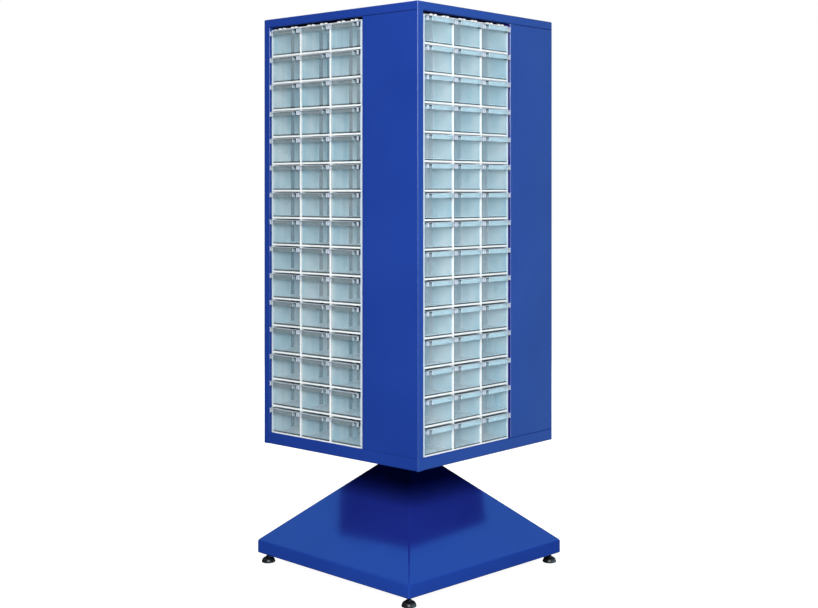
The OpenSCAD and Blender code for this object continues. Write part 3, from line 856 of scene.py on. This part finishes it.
def levelling_foot(i):
    """Domed pad, neck and threaded stud, turned from one outline"""
    pad_r, rim_h, pad_h, neck_r, neck_top = 20, 4, 15, 8, 18.1
    sole_w, sole_h, step_in, dome_steps = 1.5, 1.2, 0.8, 9
    stud_r, stud_top, pitch, thread, run_in, plain_end = 5, 56, 1.5, 0.5, 0.4, 1
    outline = [(0, 0), (pad_r - sole_w, 0), (pad_r, sole_h), (pad_r, rim_h)]
    for step in range(1, dome_steps):
        angle = math.radians(90 * step / dome_steps)
        reach = neck_r + (pad_r - step_in - neck_r) * math.cos(angle)
        outline.append((reach, rim_h + (pad_h - rim_h) * math.sin(angle)))
    outline += [(neck_r, pad_h), (neck_r, neck_top - step_in), (neck_r - step_in, neck_top)]
    for turn in range(int((stud_top - neck_top - plain_end) / pitch)):
        z = neck_top + run_in + turn * pitch
        outline += [(stud_r - thread, z), (stud_r, z + pitch / 2)]
    outline += [(stud_r - thread, stud_top), (0, stud_top)]
    bm = bmesh.new()
    points = [bm.verts.new((x, 0, z)) for x, z in outline]
    edges = [bm.edges.new(pair) for pair in zip(points, points[1:])]
    bmesh.ops.spin(
        bm, geom=points + edges, cent=(0, 0, 0), axis=(0, 0, 1),
        angle=math.tau, steps=FOOT_STEPS, use_merge=True,
    )
    bmesh.ops.remove_doubles(bm, verts=bm.verts, dist=TINY)
    bmesh.ops.recalc_face_normals(bm, faces=bm.faces)
    corner = Matrix.Rotation(BASE_TURN + math.radians(90 * (i - 1)), 4, "Z")
    place = corner @ Matrix.Translation((foot_at, foot_at, 0))
    bmesh.ops.transform(bm, matrix=place, verts=bm.verts)
    name = f"levelling_foot_{i}"
    add_piece(bm, f"turned_foot_{i}", name, [foot_black], [name])


# Pieces

base_cover()
tray("bottom_pan", deck_z, cab_z, hub_hole_r, deck_z + 1)
tray("top_pan", cab_top, band_z, 0, cab_top - bend_r)
lowest_frame, other_frame = frame_shape(False), frame_shape(True)
one_drawer = drawer_shape()
for side in range(1, SIDES + 1):
    corner_panel(side)
    white_frames(side, lowest_frame, other_frame)
    levelling_foot(side)
    for column in range(1, COLUMNS + 1):
        free = FREE_ROWS[column - 1]
        others = [row for row in range(1, ROWS + 1) if row != free]
        for word, rows in (("bank", others), ("single", [free])):
            node = f"drawer_{word}_{side}_{column}"
            clear_drawers(node, side, column, rows, one_drawer)

# Finishes of the pieces that stay as the frame has them
KEPT_FINISHES = {
    frame_steel: ["base_frame", "column_flange", "lower_hub", "upper_hub"],
    bright_steel: [
        "flange_bolts", "hub_bolts", "foot_locknuts", "panel_screws", "column",
        "thrust_collar", "retaining_collar",
    ],
    bearing_steel: ["lower_race", "upper_race", "ball_cage", "bearing_balls"],
    bush_plastic: ["lower_bush", "upper_bush"],
    cabinet_paint: [f"bay_wall_{k}" for k in range(1, SIDES + 1)],
}
for material, nodes in KEPT_FINISHES.items():
    for node in nodes:
        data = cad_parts[node].data
        data.materials.clear()
        data.materials.append(material)


# Stage, light and camera


def studio_floor(half=30, tone=0.35, seen_tone=0.3, seen_glow=0.95):
    """Pale floor that the camera sees as white, with the object's soft shadow on it

    Mirrors don't show it. Its half width is in metres.
    """
    bm = bmesh.new()
    bmesh.ops.create_grid(bm, x_segments=1, y_segments=1, size=half)
    mesh = bpy.data.meshes.new("studio_floor")
    bm.to_mesh(mesh)
    bm.free()
    material = bpy.data.materials.new("studio_floor")
    material.use_nodes = True
    tree = material.node_tree
    tree.nodes.clear()
    path = tree.nodes.new("ShaderNodeLightPath")
    pale = tree.nodes.new("ShaderNodeBsdfDiffuse")
    pale.inputs["Color"].default_value = (tone, tone, tone, 1)
    shaded = tree.nodes.new("ShaderNodeBsdfDiffuse")
    shaded.inputs["Color"].default_value = (seen_tone, seen_tone, seen_tone, 1)
    glow = tree.nodes.new("ShaderNodeEmission")
    glow.inputs["Strength"].default_value = seen_glow
    seen = tree.nodes.new("ShaderNodeAddShader")
    clear = tree.nodes.new("ShaderNodeBsdfTransparent")
    either = tree.nodes.new("ShaderNodeMixShader")
    unmirrored = tree.nodes.new("ShaderNodeMixShader")
    out = tree.nodes.new("ShaderNodeOutputMaterial")
    tree.links.new(shaded.outputs[0], seen.inputs[0])
    tree.links.new(glow.outputs[0], seen.inputs[1])
    tree.links.new(path.outputs["Is Camera Ray"], either.inputs["Fac"])
    tree.links.new(pale.outputs[0], either.inputs[1])
    tree.links.new(seen.outputs[0], either.inputs[2])
    tree.links.new(path.outputs["Is Glossy Ray"], unmirrored.inputs["Fac"])
    tree.links.new(either.outputs[0], unmirrored.inputs[1])
    tree.links.new(clear.outputs[0], unmirrored.inputs[2])
    tree.links.new(unmirrored.outputs[0], out.inputs["Surface"])
    mesh.materials.append(material)
    link(bpy.data.objects.new("studio_floor", mesh))


def studio_world(lit=0.24, dark=0.15, bright=3.6, ceiling=0.92):
    """Even light, and white to the camera

    In mirrors it is dark, but bright behind the cabinet's right side and overhead.
    """
    world = bpy.data.worlds.new("studio")
    bpy.context.scene.world = world
    world.use_nodes = True
    tree = world.node_tree
    path = tree.nodes.new("ShaderNodeLightPath")
    way = tree.nodes.new("ShaderNodeSeparateXYZ")
    tree.links.new(tree.nodes.new("ShaderNodeTexCoord").outputs["Generated"], way.inputs[0])
    across = calculate(tree, "ADD", way.outputs["X"], way.outputs["Y"])
    sideways = spread(tree, way.outputs["X"], (0.1, 0.6), (0, 1))
    share = calculate(tree, "MULTIPLY", spread(tree, across, (-0.2, 1.2), (0, 1)), sideways)
    mirrored = spread(tree, share, (0, 1), (dark, bright))
    above = spread(tree, way.outputs["Z"], (0.3, 0.6), (0, 1))
    to_ceiling = calculate(tree, "MULTIPLY", above, calculate(tree, "SUBTRACT", ceiling, mirrored))
    mirrored = calculate(tree, "ADD", mirrored, to_ceiling)
    extra = calculate(tree, "SUBTRACT", mirrored, lit)
    extra = calculate(tree, "MULTIPLY", path.outputs["Is Glossy Ray"], extra)
    strength = calculate(tree, "ADD", lit, extra)
    strength = calculate(tree, "MAXIMUM", strength, path.outputs["Is Camera Ray"])
    tints = [tree.nodes.new("ShaderNodeRGB").outputs[0] for _ in range(2)]
    for socket, colour in zip(tints, ((1, 1, 1, 1), (0.62, 0.86, 1, 1))):
        socket.default_value = colour
    tint = blend_colours(tree, path.outputs["Is Glossy Ray"], *tints)
    tree.links.new(tint, tree.nodes["Background"].inputs["Color"])
    tree.links.new(strength, tree.nodes["Background"].inputs["Strength"])


def softbox(name, place, width, height, power, aim_z=0.9):
    """Area lamp that faces the middle of the cabinet"""
    lamp = bpy.data.lights.new(name, "AREA")
    lamp.shape = "RECTANGLE"
    lamp.size, lamp.size_y = width, height
    lamp.energy = power
    holder = link(bpy.data.objects.new(name, lamp))
    holder.location = place
    holder.visible_camera = False
    aim = Vector((0, 0, aim_z)) - Vector(place)
    holder.rotation_euler = aim.to_track_quat("-Z", "Y").to_euler()


def photo_camera():
    """The photograph's view: level, from the front right of side 1"""
    lens = bpy.data.cameras.new("photo_camera")
    lens.sensor_width = 36
    lens.lens = 57.35
    lens.shift_y = -0.138
    lens.clip_end = 100
    camera = link(bpy.data.objects.new("photo_camera", lens))
    camera.location = (2.560, -2.853, 1.090)
    camera.rotation_euler = (math.radians(90), 0, math.radians(41.9))
    bpy.context.scene.camera = camera


studio_floor()
studio_world()
softbox("camera_softbox", (2.68, -3.08, 2.1), 1.2, 1.6, 234)
softbox("right_softbox", (4.2, -0.6, 0.9), 1.2, 1.2, 10)
softbox("back_softbox", (-2.68, 3.08, 2.1), 1.2, 1.6, 150)
photo_camera()
bpy.context.scene.view_settings.view_transform = "Standard"
